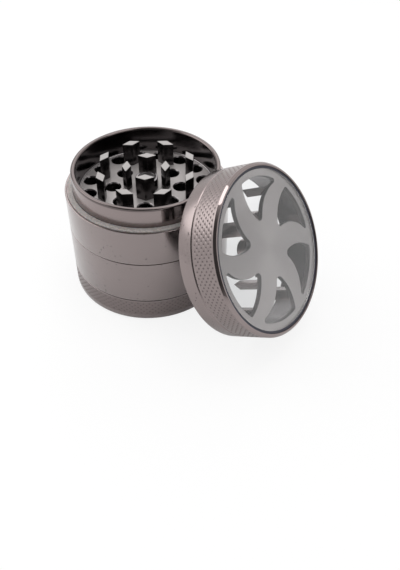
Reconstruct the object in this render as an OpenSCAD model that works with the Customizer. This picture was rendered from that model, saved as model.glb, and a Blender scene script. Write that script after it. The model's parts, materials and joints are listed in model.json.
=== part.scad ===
// Four-piece herb and spice grinder: tray, sieve chamber, grinding chamber and a clear-topped lid.
// Millimetres. +Z is up, the origin is the middle of the tray's base, and the lid leans towards +X.

/* [Body] */
// Outside diameter of every section
body_d = 50; // [49:0.5:64]
// Height of the tray section up to the first seam
tray_h = 8.1; // [7:0.1:14]
// Height of the sieve section between its seams
storage_h = 14.8; // [12:0.1:24]
// Height of the grinding section from its seam to the ledge
chamber_h = 11.8; // [10.5:0.1:18]
// Radius of the tray's rounded bottom edge
base_round = 2; // [0.6:0.1:3]
// Chamfer that makes each seam line
seam_chamfer = 0.25; // [0.1:0.05:0.6]

/* [Collars] */
// Width of the ledge outside each collar
ledge_w = 2.4; // [2:0.1:3.5]
// Wall thickness of each collar
collar_wall = 1.4; // [1:0.1:2]
// Height of the smooth collar that the lid turns on
lid_collar_h = 6.65; // [5:0.05:8]
// Height of the two threaded collars
thread_collar_h = 5.5; // [4:0.1:6.5]
// Spare depth of a socket above its collar
socket_spare = 0.7; // [0.3:0.1:1.2]
// Radial gap between a collar and its socket
collar_gap = 0.3; // [0.15:0.05:0.5]
// Radius of the rounded lip on the smooth collar
lip_round = 0.6; // [0.2:0.05:0.65]

/* [Grinding chamber] */
// Depth from the lip of the collar to the floor
grind_depth = 8.35; // [6:0.05:10]
// Thickness of the drilled floor
floor_t = 2.8; // [2:0.1:3.4]
// Fillet where the floor meets the wall
floor_fillet = 0.8; // [0.3:0.1:1.5]
// Diameter of the floor holes
hole_d = 4.4; // [3:0.1:4.8]
// Chamfer round each floor hole
hole_chamfer = 0.35; // [0.1:0.05:0.5]
// Distance from the collar's wall to the centres of the outer ring of holes
hole_inset = 3.2; // [3:0.1:3.4]
// Radial step from each ring of holes to the teeth between them
ring_step = 3.75; // [3.6:0.05:4]
// Number of holes in the outer ring
hole_count_outer = 16; // [8:1:18]
// Number of holes in the inner ring
hole_count_inner = 8; // [4:1:9]
// Turn of the chamber about its axis, in degrees
chamber_turn = 33; // [0:1:90]

/* [Teeth] */
// Length of a tooth's diamond section, along its ring
tooth_l = 5.8; // [4:0.1:6.2]
// Width of a tooth's diamond section, across its ring
tooth_w = 2.8; // [2:0.1:3]
// How far the chamber teeth stop short of the lip
tooth_drop = 0.65; // [0.3:0.05:3]
// Number of teeth in the chamber's outer ring
tooth_count_outer = 8; // [4:1:12]
// Gap between the magnet post and the chamber's inner ring of teeth
tooth_post_gap = 1; // [0.8:0.1:1.2]
// Number of teeth in the chamber's inner ring
tooth_count_inner = 4; // [2:1:4]

/* [Magnets] */
// Diameter of the magnet posts
post_d = 7; // [6:0.1:7.4]
// Diameter of each magnet
magnet_d = 5; // [3:0.1:5.4]
// Thickness of each magnet
magnet_t = 2; // [1:0.1:3]
// Radial clearance round each magnet
magnet_gap = 0.05; // [0.02:0.01:0.1]
// Gap between the two magnets when the lid is on
magnet_air = 0.6; // [0.3:0.05:1.5]
// Height of the chamber's magnet post above the floor
chamber_post_h = 3.6; // [2.5:0.1:5]

/* [Glide ring] */
// Thickness of the glide ring
glide_t = 0.8; // [0.5:0.05:1.2]
// How far the glide ring stands above the ledge
glide_stand = 0.3; // [0.1:0.05:0.4]
// Width of the metal rim left outside the glide ring
glide_rim = 0.6; // [0.4:0.05:1]
// Running gap round the glide ring
glide_gap = 0.08; // [0.03:0.01:0.1]

/* [Sieve] */
// Thickness of the sieve disc
sieve_t = 0.4; // [0.2:0.05:0.8]
// Diameter of the holes punched in the sieve
sieve_hole_d = 1.6; // [1:0.1:1.7]
// Distance between the rings of sieve holes
sieve_pitch = 2.6; // [2.4:0.1:4]
// Thickness of the shelf that carries the sieve
shelf_t = 1.4; // [0.8:0.1:2]
// Width of that shelf
shelf_w = 1.9; // [1.4:0.1:3]
// Height of the ring that holds the sieve down
snap_ring_h = 1.2; // [0.8:0.1:2]
// Width of the ring that holds the sieve down
snap_ring_w = 1.4; // [1:0.1:2]
// Running gap round the sieve
sieve_gap = 0.05; // [0.02:0.01:0.1]

/* [Tray] */
// Thickness of the tray's floor
tray_floor_t = 2; // [1.2:0.1:2.6]
// Fillet inside the tray
tray_fillet = 3; // [1:0.1:4]

/* [Lid] */
// Depth from the lid's edge to the underside of the blades
lid_depth = 10; // [9:0.1:10.2]
// Thickness of the bladed plate
blade_t = 1.5; // [1:0.1:2]
// Chamfer inside the mouth of the lid
mouth_chamfer = 0.8; // [0.4:0.05:1]
// Height of the V groove above the lid's edge
groove_z = 4.7; // [3:0.1:7]
// Depth of the V groove
groove_depth = 0.35; // [0.1:0.05:0.6]
// Width of the bright bezel round the window
bezel_w = 1.1; // [0.9:0.05:1.5]
// Height of the bezel's sloping edge
bezel_slope = 0.5; // [0.2:0.05:0.8]
// How far the lid's teeth stop short of its edge
lid_tooth_drop = 0.8; // [0.3:0.05:3]
// Distance from the collar's wall to the lid's outer ring of teeth
lid_tooth_inset = 2.8; // [2.6:0.1:3.2]
// Turn of the lid about its own axis, in degrees
lid_turn = 0; // [0:1:60]

/* [Blades] */
// Number of blades, each with a window beside it
blade_count = 6; // [5:1:6]
// Width of solid plate between the windows and the seat of the clear disc
window_margin = 2.9; // [2.6:0.1:3.4]
// Rounding of the windows' corners
window_round = 0.7; // [0.3:0.05:1]

/* [Window] */
// Thickness of the clear disc
clear_t = 1.1; // [0.8:0.05:1.3]
// Width of the dark gasket round the clear disc
gasket_w = 0.7; // [0.5:0.05:1.2]
// Fitting gap round the clear disc and its gasket
clear_gap = 0.03; // [0.01:0.01:0.05]
// How far the clear disc lies below the top of the bezel
clear_recess = 0.4; // [0.2:0.05:1]

/* [Resting lid] */
// How far the leaning lid's top edge stands above the collar's lip that it hooks over
lean_hook = 2.168; // [1.6:0.004:3]
// Least lean from upright, for a lid that is too low to hook over the lip, in degrees
lean_least = 12; // [5:1:20]
// Clearance between the leaning lid and the sections that it leans on
lean_gap = 0.2; // [0.1:0.05:0.4]

/* [Hidden] */
$fn = 96;
// How far a cut runs past the faces that it opens
through = 1;
// How far a tooth or a post is rooted in the metal that it stands on
root = 0.5;

body_r = body_d / 2;
collar_r = body_r - ledge_w;
bore_r = collar_r - collar_wall;
socket_r = collar_r + collar_gap;
socket_h = thread_collar_h + socket_spare;

seam_low = tray_h;
seam_high = seam_low + storage_h;
ledge_z = seam_high + chamber_h;
lip_z = ledge_z + lid_collar_h;
grind_floor_z = lip_z - grind_depth;
tooth_top_z = lip_z - tooth_drop;

shelf_z = seam_low + socket_h;
sieve_z = shelf_z + shelf_t;
sieve_r = bore_r - sieve_gap;
glide_z = ledge_z + glide_stand - glide_t;
glide_out_r = body_r - glide_rim;

magnet_pocket_r = magnet_d / 2 + magnet_gap;
chamber_post_z = grind_floor_z + chamber_post_h;

// The chamber's rings of holes and teeth alternate inwards from the wall
hole_ring_outer = bore_r - hole_inset;
tooth_ring_outer = hole_ring_outer - ring_step;
hole_ring_inner = tooth_ring_outer - ring_step;
tooth_ring_inner = post_d / 2 + tooth_post_gap + tooth_w / 2;

// The lid is drawn level, with the middle of its open edge at the origin, and then placed
lid_seat_z = ledge_z + glide_stand;
lid_post_z = chamber_post_z + magnet_air - lid_seat_z;
blade_top = lid_depth + blade_t;
lid_h = blade_top + clear_t + clear_recess;
window_seat_r = body_r - bezel_w;
gasket_r = window_seat_r - gasket_w;

// The lid's teeth sweep outside and between the chamber's two rings of teeth
lid_ring_outer = bore_r - lid_tooth_inset;
lid_ring_inner = (tooth_ring_outer + tooth_ring_inner) / 2;
// Angles of the teeth on each blade, from the side of the window before it
lid_angle_outer = 40;
lid_angle_inner = 51;
blade_step = 360 / blade_count;
face_turn = 90;

// Two arcs bound a window, a long outer one and a hooked inner one: their radii and centres
// keep the same proportion to the windows' reach
window_reach = window_seat_r - window_margin;
window_arc_out = 0.62 * window_reach;
window_arc_out_at = window_reach * [0.583, 0.733];
window_arc_in = 0.583 * window_reach;
window_arc_in_at = window_reach * [0.605, 0.09];
// A rounded corner is cut a hair past its two sides, as a milling cutter leaves it
corner_ease = 0.02;

// The leaning lid stands on its edge and hooks over the collar's lip, so its lean follows from
// the heights. A lid that is too low for that leans against the wall instead
lean_up = max(lean_least, acos(min(1, (lip_z + lean_hook) / body_d)));
lean_tilt = 90 - lean_up;
lean_z = body_r * cos(lean_up);

// Clearance from the middle line of the round lip, at angle a, to the lid's chamfered mouth
function lip_gap(x, a) =
    let (px = (collar_r - lip_round) * cos(a) - x, py = (collar_r - lip_round) * sin(a),
         pz = lip_z - lip_round - lean_z,
         along = px * cos(lean_up) + pz * sin(lean_up),
         out = norm([pz * cos(lean_up) - px * sin(lean_up), py]))
    max(-along, socket_r - out, (socket_r + mouth_chamfer - out - along) / sqrt(2)) - lip_round;

// Clearance from a point at radius r and height z to the outside of the stacked sections
function corner_gap(u, v) = u > 0 && v > 0 ? norm([u, v]) : max(u, v);
function stack_gap(r, z) =
    min(corner_gap(r - body_r, z - ledge_z - glide_stand),
        corner_gap(r - collar_r + lip_round, z - lip_z + lip_round) - lip_round);

// Edges of the lid's mouth, as radius and height, and the clearance of one at angle a from its top
lid_edges = [[body_r - seam_chamfer, 0], [body_r, seam_chamfer],
             [socket_r + mouth_chamfer, 0], [socket_r, mouth_chamfer]];
function edge_gap(x, edge, a) =
    let (up = edge[0] * cos(a),
         px = x + edge[1] * cos(lean_up) - up * sin(lean_up))
    stack_gap(norm([px, edge[0] * sin(a)]), lean_z + edge[1] * sin(lean_up) + up * cos(lean_up));

// The lid's place is the nearest along X at which both stay clear, found coarsely and then finely
angle_step = 2;
lean_stride = 1;
lean_step = 0.05;
function lean_clears(x) =
    min([for (a = [0:angle_step:60]) lip_gap(x, a)]) >= lean_gap
    && min([for (edge = lid_edges, a = [0:angle_step:90]) edge_gap(x, edge, a)]) >= lean_gap;
function lean_after(from, to, step) =
    max([for (x = [from:step:to]) if (!lean_clears(x)) x]) + step;
lean_near = lean_after(0, body_d, lean_stride);
lean_x = lean_after(lean_near - lean_stride, lean_near, lean_step);

metal = [0.52, 0.49, 0.49];

// A turned ring's section, from radius a to b and height z to z + h, with its outer edges chamfered
module band(a, b, z, h, c) {
    polygon([[a, z], [b - c, z], [b, z + c], [b, z + h - c], [b - c, z + h], [a, z + h]]);
}

// A collar's section with a rounded lip on top
module collar_section(z, h, lip) {
    translate([bore_r, z]) square([collar_wall, h - lip]);
    translate([bore_r + lip, z]) square([collar_wall - 2 * lip, h]);
    translate([bore_r + lip, z + h - lip]) circle(r = lip);
    translate([collar_r - lip, z + h - lip]) circle(r = lip);
}

// A diamond tooth standing on ring radius r at angle a, from height z0 to z1
module tooth(r, a, z0, z1) {
    rotate([0, 0, a]) translate([r, 0, z0]) linear_extrude(height = z1 - z0)
        polygon([[-tooth_w / 2, 0], [0, -tooth_l / 2], [tooth_w / 2, 0], [0, tooth_l / 2]]);
}

module tooth_ring(r, count, start, z0, z1) {
    for (i = [0:count - 1]) tooth(r, start + i * 360 / count, z0, z1);
}

// A drilled floor hole with a chamfered mouth, cutting down from height z
module floor_hole(z) {
    translate([0, 0, z - floor_t - through]) cylinder(d = hole_d, h = floor_t + 2 * through);
    translate([0, 0, z - hole_chamfer])
        cylinder(d1 = hole_d, d2 = hole_d + 4 * hole_chamfer, h = 2 * hole_chamfer);
}

module hole_ring(r, count, start, z) {
    for (i = [0:count - 1])
        rotate([0, 0, start + i * 360 / count]) translate([r, 0, 0]) floor_hole(z);
}

module tray() {
    color(metal) rotate_extrude() difference() {
        union() {
            translate([0, base_round]) band(0, body_r, 0, tray_h - base_round, seam_chamfer);
            square([body_r - base_round, tray_h - base_round]);
            translate([body_r - base_round, base_round]) intersection() {
                circle(r = base_round);
                translate([0, -base_round]) square([base_round, 2 * base_round]);
            }
            translate([bore_r, 0]) square([collar_wall, tray_h + thread_collar_h]);
        }
        translate([0, tray_floor_t]) square([bore_r - tray_fillet, tray_h + thread_collar_h]);
        translate([0, tray_floor_t + tray_fillet]) square([bore_r, tray_h + thread_collar_h]);
        translate([bore_r - tray_fillet, tray_floor_t + tray_fillet]) circle(r = tray_fillet);
    }
}

module storage_chamber() {
    color(metal) rotate_extrude() difference() {
        union() {
            band(bore_r - shelf_w, body_r, seam_low, storage_h, seam_chamfer);
            translate([bore_r, seam_high - through]) square([collar_wall, thread_collar_h + through]);
        }
        translate([0, seam_low - through]) square([socket_r, socket_h + through]);
        translate([0, sieve_z]) square([bore_r, storage_h + thread_collar_h]);
    }
}

// The sieve is a round disc that lies loose on its shelf, punched in rings
module sieve() {
    rings = floor((bore_r - shelf_w - sieve_hole_d) / sieve_pitch);
    color([0.75, 0.75, 0.72]) translate([0, 0, sieve_z]) difference() {
        cylinder(r = sieve_r, h = sieve_t);
        for (i = [1:rings], k = [0:6 * i - 1])
            rotate([0, 0, k * 60 / i]) translate([i * sieve_pitch, 0, -through])
                cylinder(d = sieve_hole_d, h = sieve_t + 2 * through);
    }
}

module sieve_ring() {
    color([0.6, 0.58, 0.57]) translate([0, 0, sieve_z + sieve_t]) difference() {
        cylinder(r = sieve_r, h = snap_ring_h);
        translate([0, 0, -through])
            cylinder(r = sieve_r - snap_ring_w, h = snap_ring_h + 2 * through);
    }
}

module glide_ring() {
    color([0.83, 0.83, 0.8]) translate([0, 0, glide_z]) difference() {
        cylinder(r = glide_out_r - glide_gap, h = glide_t);
        translate([0, 0, -through]) cylinder(r = collar_r + glide_gap, h = glide_t + 2 * through);
    }
}

module grinding_chamber() {
    color(metal) difference() {
        union() {
            rotate_extrude() difference() {
                union() {
                    band(0, body_r, seam_high, chamber_h, seam_chamfer);
                    collar_section(ledge_z - through, lid_collar_h + through, lip_round);
                }
                translate([0, seam_high - through]) square([socket_r, socket_h + through]);
                translate([0, seam_high]) square([bore_r, grind_floor_z - floor_t - seam_high]);
                translate([0, grind_floor_z]) square([bore_r - floor_fillet, chamber_h]);
                translate([0, grind_floor_z + floor_fillet]) square([bore_r, chamber_h]);
                translate([bore_r - floor_fillet, grind_floor_z + floor_fillet])
                    circle(r = floor_fillet);
                translate([collar_r, glide_z]) square([glide_out_r - collar_r, glide_t]);
            }
            rotate([0, 0, chamber_turn]) {
                tooth_ring(tooth_ring_outer, tooth_count_outer, 180 / tooth_count_outer,
                           grind_floor_z - root, tooth_top_z);
                tooth_ring(tooth_ring_inner, tooth_count_inner, 0, grind_floor_z - root, tooth_top_z);
            }
            translate([0, 0, grind_floor_z - root]) cylinder(d = post_d, h = chamber_post_h + root);
        }
        rotate([0, 0, chamber_turn]) {
            hole_ring(hole_ring_outer, hole_count_outer, 180 / hole_count_outer, grind_floor_z);
            hole_ring(hole_ring_inner, hole_count_inner, 0, grind_floor_z);
        }
        translate([0, 0, chamber_post_z - magnet_t])
            cylinder(r = magnet_pocket_r, h = magnet_t + through);
    }
}

module chamber_magnet() {
    color([0.8, 0.8, 0.82]) translate([0, 0, chamber_post_z - magnet_t])
        cylinder(d = magnet_d, h = magnet_t);
}

// Puts a piece of the lid where the lid leans
module leaning() {
    translate([lean_x, 0, lean_z]) rotate([0, lean_tilt, 0]) rotate([0, 0, lid_turn]) children();
}

// Where two circles cross, on the given side of the line from a to b
function meet(a, ra, b, rb, side) =
    let (d = norm(b - a), u = (b - a) / d, x = (d * d + ra * ra - rb * rb) / (2 * d))
    a + x * u + side * sqrt(ra * ra - x * x) * [-u[1], u[0]];

// The centre of the round end that fits a corner between two arcs: w is 1 where the shape lies
// inside that arc's circle, and -1 where it lies outside
function corner_at(a, ra, wa, b, rb, wb, side) =
    meet(a, ra - wa * window_round, b, rb - wb * window_round, side);

module sharp_corner(a, ra, wa, b, rb, wb, side) {
    p = corner_at(a, ra, wa, b, rb, wb, side);
    tip = meet(a, ra, b, rb, side);
    function touch(c, r) = c + r * (p - c) / norm(p - c);
    polygon([p, 2 * touch(a, ra) - p, 2 * tip - p, 2 * touch(b, rb) - p]);
}

module round_corner(a, ra, wa, b, rb, wb, side) {
    translate(corner_at(a, ra, wa, b, rb, wb, side)) circle(r = window_round + corner_ease);
}

// One window between two blades: a long outer side, a hooked inner side and the rim's arc
module window_shape() {
    rim = [0, 0];
    difference() {
        intersection() {
            circle(r = window_reach);
            translate(window_arc_out_at) circle(r = window_arc_out);
        }
        translate(window_arc_in_at) circle(r = window_arc_in);
        sharp_corner(rim, window_reach, 1, window_arc_out_at, window_arc_out, 1, 1);
        sharp_corner(rim, window_reach, 1, window_arc_in_at, window_arc_in, -1, 1);
        sharp_corner(window_arc_out_at, window_arc_out, 1, window_arc_in_at, window_arc_in, -1, -1);
    }
    round_corner(rim, window_reach, 1, window_arc_out_at, window_arc_out, 1, 1);
    round_corner(rim, window_reach, 1, window_arc_in_at, window_arc_in, -1, 1);
    round_corner(window_arc_out_at, window_arc_out, 1, window_arc_in_at, window_arc_in, -1, -1);
}

module lid_shell() {
    rotate_extrude()
        polygon([[0, lid_depth], [socket_r, lid_depth], [socket_r, mouth_chamfer],
                 [socket_r + mouth_chamfer, 0], [body_r - seam_chamfer, 0], [body_r, seam_chamfer],
                 [body_r, groove_z - groove_depth], [body_r - groove_depth, groove_z],
                 [body_r, groove_z + groove_depth], [body_r, lid_h - bezel_slope],
                 [body_r - bezel_slope, lid_h], [window_seat_r, lid_h], [window_seat_r, blade_top],
                 [0, blade_top]]);
}

module lid() {
    color(metal) leaning() difference() {
        union() {
            difference() {
                lid_shell();
                for (i = [0:blade_count - 1]) rotate([0, 0, face_turn + i * blade_step])
                    translate([0, 0, lid_depth - through])
                        linear_extrude(height = blade_t + 2 * through) window_shape();
            }
            rotate([0, 0, face_turn]) {
                tooth_ring(lid_ring_outer, blade_count, lid_angle_outer, lid_tooth_drop, lid_depth + root);
                tooth_ring(lid_ring_inner, blade_count, lid_angle_inner, lid_tooth_drop, lid_depth + root);
            }
            translate([0, 0, lid_post_z]) cylinder(d = post_d, h = lid_depth + root - lid_post_z);
        }
        translate([0, 0, lid_post_z - through]) cylinder(r = magnet_pocket_r, h = magnet_t + through);
    }
}

module lid_magnet() {
    color([0.8, 0.8, 0.82]) leaning() translate([0, 0, lid_post_z]) cylinder(d = magnet_d, h = magnet_t);
}

module lid_gasket() {
    color([0.12, 0.12, 0.13]) leaning() translate([0, 0, blade_top]) difference() {
        cylinder(r = window_seat_r - clear_gap, h = clear_t);
        translate([0, 0, -through]) cylinder(r = gasket_r, h = clear_t + 2 * through);
    }
}

module lid_window() {
    color([0.85, 0.9, 0.95, 0.4]) leaning() translate([0, 0, blade_top])
        cylinder(r = gasket_r - clear_gap, h = clear_t);
}

tray();
sieve();
storage_chamber();
sieve_ring();
glide_ring();
grinding_chamber();
chamber_magnet();
lid();
lid_magnet();
lid_gasket();
lid_window();
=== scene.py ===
"""Four-piece herb and spice grinder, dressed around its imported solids.

The metal sections are turned shells with threads, dimpled grips, drilled floors and diamond teeth.
The lid leans beside them, with a clear window over a plate of curved blades.
"""

import json
import math
from types import SimpleNamespace

import bmesh
import bpy
from bpy.props import FloatProperty, FloatVectorProperty, IntProperty, PointerProperty
from mathutils import Matrix, Vector
from mathutils.geometry import delaunay_2d_cdt


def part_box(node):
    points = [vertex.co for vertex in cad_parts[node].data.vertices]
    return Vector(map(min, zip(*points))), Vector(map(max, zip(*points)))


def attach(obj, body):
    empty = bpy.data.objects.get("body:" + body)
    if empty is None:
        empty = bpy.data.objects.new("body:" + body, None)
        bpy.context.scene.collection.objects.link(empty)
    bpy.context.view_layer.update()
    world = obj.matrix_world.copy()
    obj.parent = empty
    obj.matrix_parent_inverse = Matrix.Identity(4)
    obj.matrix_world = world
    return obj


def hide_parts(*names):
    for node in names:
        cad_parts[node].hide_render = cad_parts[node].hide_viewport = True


bl_info = {
    "name": "Herb Grinder",
    "version": (1, 0, 0),
    "blender": (4, 5, 0),
    "location": "3D View > Sidebar > Grinder",
    "description": "Builds a screw-together herb grinder with a clear-topped lid",
    "category": "Add Mesh",
}

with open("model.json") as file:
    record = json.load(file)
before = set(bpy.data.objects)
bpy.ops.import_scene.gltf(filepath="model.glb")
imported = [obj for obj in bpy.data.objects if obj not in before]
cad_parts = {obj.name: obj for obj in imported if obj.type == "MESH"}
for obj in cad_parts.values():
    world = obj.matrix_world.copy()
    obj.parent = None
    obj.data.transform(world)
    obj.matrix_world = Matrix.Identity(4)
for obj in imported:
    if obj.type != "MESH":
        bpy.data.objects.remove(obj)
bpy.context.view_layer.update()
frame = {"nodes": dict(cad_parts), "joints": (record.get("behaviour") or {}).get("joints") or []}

MM = 0.001
TURN = 2 * math.pi
WHITE = (1.0, 1.0, 1.0, 1.0)

# Places that come from the frame
BODY_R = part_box("storage_chamber")[1].x
SEAM_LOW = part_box("storage_chamber")[0].z
SEAM_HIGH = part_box("grinding_chamber")[0].z
TRAY_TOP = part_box("tray")[1].z
STORAGE_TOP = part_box("storage_chamber")[1].z
LIP_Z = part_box("grinding_chamber")[1].z
POST_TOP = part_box("chamber_magnet")[1].z
SIEVE_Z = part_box("sieve")[0].z
GLIDE_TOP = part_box("glide_ring")[1].z
GLIDE_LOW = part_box("glide_ring")[0].z
LID_JOINT = next(j for j in frame["joints"] if j["name"] == "lid_turn")
LID_AT = Vector(LID_JOINT["pos_m"])
LID_AXIS = Vector(LID_JOINT["axis"]).normalized()
LID_TILT = math.atan2(LID_AXIS.x, LID_AXIS.z)
LEANING = Matrix.Translation(LID_AT) @ Matrix.Rotation(LID_TILT, 4, "Y")
UPRIGHT = Matrix.Identity(4)

# Turns of the patterns about their axes
CHAMBER_TURN = math.radians(33)
FACE_TURN = math.radians(90)
LID_OUTER_TURN = math.radians(40)
LID_INNER_TURN = math.radians(51)

# Roundings that are too small to be worth a slider
EDGE = 0.12 * MM
LID_EDGE = 0.1 * MM
BEZEL_ROUND = 0.15 * MM
GROOVE_ROUND = 0.05 * MM
LID_FILLET = 0.4 * MM
COLLAR_ROUND_OUT = 0.2 * MM
COLLAR_ROUND_IN = 0.3 * MM
POST_ROUND = 0.25 * MM
POCKET_ROUND = 0.1 * MM
DISC_ROUND_TOP = 0.15 * MM
DISC_ROUND_LOW = 0.05 * MM

# Plain borders beside threads, bands of dimples and flat faces
THREAD_BORDER = 0.3 * MM
GRIP_BORDER = 0.25 * MM
BASE_BORDER = 0.2 * MM
BEZEL_BORDER = 0.1 * MM
FLAT_BORDER = 1.0 * MM
DISC_BORDER = 0.4 * MM
CLEAR_BORDER = 0.5 * MM
FLOOR_BORDER = 0.15 * MM
PLATE_BORDER = 0.9 * MM

# How far a tooth or a post is rooted in the metal that it stands on
ROOT = 0.5 * MM

# Points round a plain section, a post and a floor hole, and along each side of a dimple's cell
ROUND = 256
ROUND_POST = 96
ROUND_HOLE = 48
CELL_EDGE = 4

# How near two points are joined, and the angle from which an edge is shaded sharp
WELD = 0.002 * MM
SHARP = math.radians(32)

# Profiles of a dimple, a hole's mouth and a tooth's tip, in pairs of shares: out and down by the
# dimple's width and depth, out and down by the hole's chamfer, in and down by the tooth's rounding
DIMPLE_BOWL = ((0.58, 0.0), (0.5, 0.12), (0.34, 0.62), (0.15, 0.93))
HOLE_MOUTH = ((1.0, 0.0), (0.45, 0.3), (0.0, 1.0))
TOOTH_TIP = ((0.0, 1.0), (0.35, 0.3), (0.95, 0.0))

# The two arcs that bound a window, in proportion to the windows' reach, and the fine and plain
# steps along its outline
OUTER_ARC_AT, OUTER_ARC = Vector((0.583, 0.733)), 0.62
HOOK_ARC_AT, HOOK_ARC = Vector((0.605, 0.09)), 0.583
FINE_STEP, PLAIN_STEP = 0.16 * MM, 0.4 * MM

# The way along which a sheen is painted paler on the blade plate's turned face, in the lid's own plane
SHEEN_TURN = math.radians(142.74)
PLATE_SHEEN = LEANING.to_3x3() @ Vector((math.cos(SHEEN_TURN), math.sin(SHEEN_TURN), 0.0))

# The camera, its lens and sensor in millimetres, and the middle of what it looks at
CAMERA_AT = Vector((95.71, -122.69, 144.03)) * MM
CAMERA_HEADING = math.radians(32.79)
CAMERA_PITCH = math.radians(38.5941)
CAMERA_ROLL = math.radians(-0.14706)
CAMERA_LENS = 55.30
CAMERA_SHIFT = (0.0190, -0.16654)
CAMERA_SENSOR = 36.0
CAMERA_NEAR, CAMERA_FAR = 0.01, 20.0
STAGE_MIDDLE = Vector((12, 0, 20)) * MM

# The room: its plain light, the darker side and the small panel that polished metal mirrors, and
# the share of the light that those two take away
ROOM_LIGHT = 0.7
ROOM_DIMMED = 0.9
DARK_SIDE = Vector((0.42, -0.66, 0.62)).normalized()
DARK_SIDE_FROM, DARK_SIDE_FULL = 0.45, 0.9
DARK_PANEL = Vector((0.82, 0.44, 0.37)).normalized()
DARK_PANEL_FROM, DARK_PANEL_FULL = 0.9, 0.96

# The floor, how far it is lifted to white where it is seen, and the shares of that lift that it
# has through the clear disc and where it is mirrored
FLOOR_HALF = 3.0
FLOOR_LIFT = 0.84
FLOOR_LIFT_THROUGH = 0.78
FLOOR_LIFT_MIRRORED = 0.08


def length(name, description, millimetres):
    """A size that a user can change, kept in metres."""
    return FloatProperty(
        name=name, description=description, default=millimetres * MM,
        min=0.0, precision=5, subtype="DISTANCE", unit="LENGTH")


def quantity(name, description, number, least):
    """A number of like things that a user can change."""
    return IntProperty(name=name, description=description, default=number, min=least)


def colour(name, description, value):
    """A colour that a user can change."""
    return FloatVectorProperty(
        name=name, description=description, default=value, size=3, min=0.0, max=1.0, subtype="COLOR")


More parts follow.
